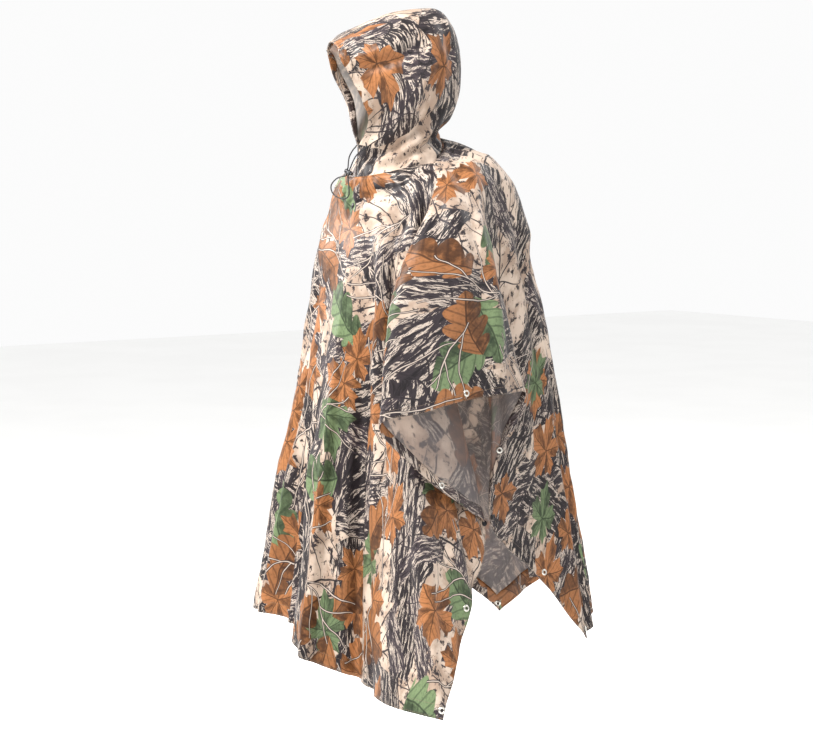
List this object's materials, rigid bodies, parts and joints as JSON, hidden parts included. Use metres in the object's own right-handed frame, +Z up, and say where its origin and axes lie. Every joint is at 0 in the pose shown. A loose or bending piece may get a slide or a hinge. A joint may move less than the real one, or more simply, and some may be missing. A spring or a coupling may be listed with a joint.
{
  "type": "hooded rain poncho",
  "caption": "Hooded camouflage rain poncho, worn hollow, with turned hems, edge grommets, side snaps and a hood drawcord with a toggle.",
  "frame": {"origin": "centre of the neck base, where the wearer's shoulders carry the garment", "axes": "+Z up along the wearer, -Y to the wearer's front, +X to the wearer's left"},
  "size_m": [0.709, 0.6989, 1.3442],
  "materials": {
    "camo_cloth": "light coated taffeta with a woodland leaf print",
    "hem_cloth": "the same cloth turned inside and sewn",
    "grommet_metal": "nickel",
    "snap_metal": "black oxide",
    "cord": "braided",
    "toggle_plastic": "satin"
  },
  "bodies": {
    "root": {"cord_left_strand": "cord", "cord_loop": "cord", "cord_right_strand": "cord", "grommet_back_left_tip": "grommet_metal", "grommet_back_right_tip": "grommet_metal", "grommet_front_left_tip": "grommet_metal", "grommet_front_right_tip": "grommet_metal", "grommet_left_back": "grommet_metal", "grommet_left_front": "grommet_metal", "grommet_left_low_back": "grommet_metal", "grommet_left_low_front": "grommet_metal", "grommet_left_sleeve": "grommet_metal", "grommet_right_low_back": "grommet_metal", "grommet_right_low_front": "grommet_metal", "grommet_right_sleeve": "grommet_metal", "hem_back": "hem_cloth", "hem_front": "hem_cloth", "hem_left": "hem_cloth", "hem_right": "hem_cloth", "hood": "camo_cloth", "hood_casing": "hem_cloth", "sheet_back": "camo_cloth", "sheet_front": "camo_cloth", "sheet_left_sleeve": "camo_cloth", "sheet_right_sleeve": "camo_cloth", "snap_chest": "snap_metal", "snap_left_back": "snap_metal", "snap_left_front": "snap_metal", "snap_right_back": "snap_metal", "snap_right_front": "snap_metal", "toggle_barrel": "toggle_plastic", "toggle_button": "toggle_plastic", "washer_back_left_tip": "grommet_metal", "washer_back_right_tip": "grommet_metal", "washer_front_left_tip": "grommet_metal", "washer_front_right_tip": "grommet_metal", "washer_left_back": "grommet_metal", "washer_left_front": "grommet_metal", "washer_left_low_back": "grommet_metal", "washer_left_low_front": "grommet_metal", "washer_left_sleeve": "grommet_metal", "washer_right_low_back": "grommet_metal", "washer_right_low_front": "grommet_metal", "washer_right_sleeve": "grommet_metal"}
  },
  "joints": []
}
